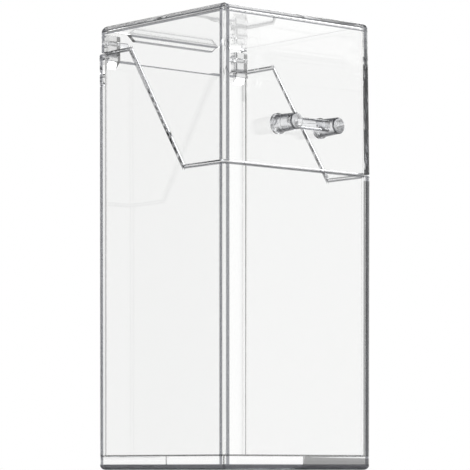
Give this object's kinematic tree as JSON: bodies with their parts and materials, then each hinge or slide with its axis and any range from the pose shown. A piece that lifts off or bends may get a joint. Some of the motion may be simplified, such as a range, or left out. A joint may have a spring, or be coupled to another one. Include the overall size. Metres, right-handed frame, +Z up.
{
  "type": "brush holder",
  "caption": "Clear square tower for make-up brushes: open tub with a deep slanted lid that flips up on rear pegs by an H-shaped pull.",
  "frame": {"origin": "centre of the tub's square underside, on the surface it stands on", "axes": "+Z up, -Y towards the front with the pull, +Y towards the rear with the hinge, +X to the right seen from the front"},
  "size_m": [0.0982, 0.112, 0.226],
  "materials": {
    "clear_tub": "polished clear moulding",
    "clear_lid": "polished clear moulding",
    "clear_pull": "polished clear moulding",
    "clear_pin": "polished clear rod"
  },
  "bodies": {
    "tub": {"tub": "clear_tub"},
    "lid": {"lid_shell": "clear_lid", "pull_handle": "clear_pull", "hinge_pin_left": "clear_pin", "hinge_pin_right": "clear_pin"}
  },
  "joints": [
    {"name": "lid_hinge", "type": "hinge", "parent": "tub", "child": "lid", "pos_m": [0, 0.04543, 0.217], "axis": [-1, 0, 0], "range_deg": [0, 120]}
  ]
}
